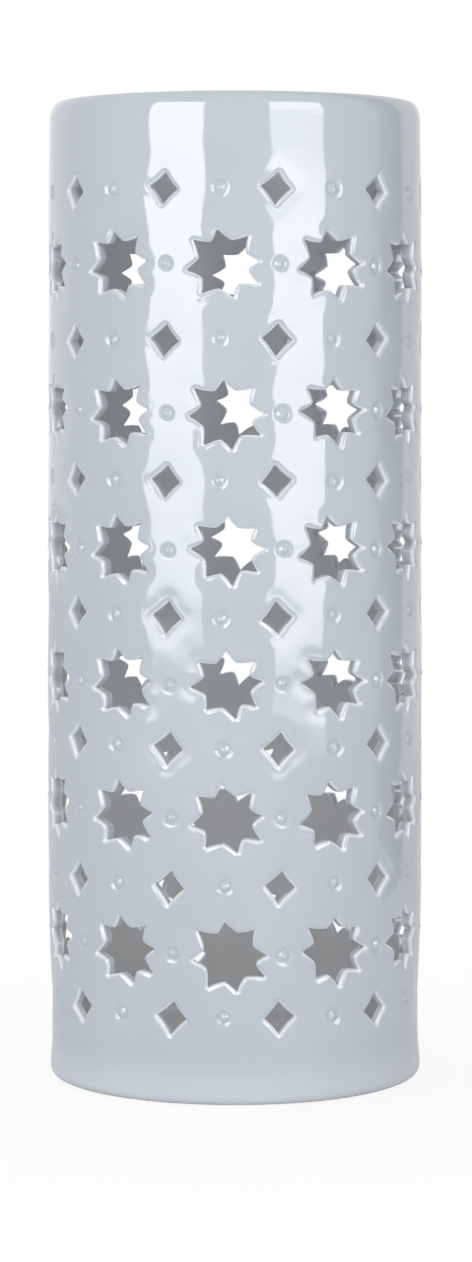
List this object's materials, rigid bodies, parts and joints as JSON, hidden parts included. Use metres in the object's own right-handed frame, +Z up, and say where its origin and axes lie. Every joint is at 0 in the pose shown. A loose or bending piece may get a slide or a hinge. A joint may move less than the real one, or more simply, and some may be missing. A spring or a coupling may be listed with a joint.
{
  "type": "umbrella stand",
  "caption": "Tall cylindrical stoneware umbrella stand, its wall pierced with stars and diamonds and set with raised dots, open at the top and standing on a flat base.",
  "frame": {"origin": "centre of the face it stands on", "axes": "+Z up along the tube, front towards -Y, +X to the right seen from the front"},
  "size_m": [0.1534, 0.1536, 0.3937],
  "materials": {
    "glazed_stoneware": "gloss glaze",
    "bare_clay": "unglazed, matte"
  },
  "bodies": {
    "root": {"pierced_wall": "glazed_stoneware", "rim_coil": "glazed_stoneware", "base_slab": "glazed_stoneware", "foot_ring": "bare_clay", "dots_row_01": "glazed_stoneware", "dots_row_02": "glazed_stoneware", "dots_row_03": "glazed_stoneware", "dots_row_04": "glazed_stoneware", "dots_row_05": "glazed_stoneware", "dots_row_06": "glazed_stoneware", "dots_row_07": "glazed_stoneware", "dots_row_08": "glazed_stoneware", "dots_row_09": "glazed_stoneware", "dots_row_10": "glazed_stoneware", "dots_row_11": "glazed_stoneware", "dots_row_12": "glazed_stoneware", "dots_row_13": "glazed_stoneware"}
  },
  "joints": []
}
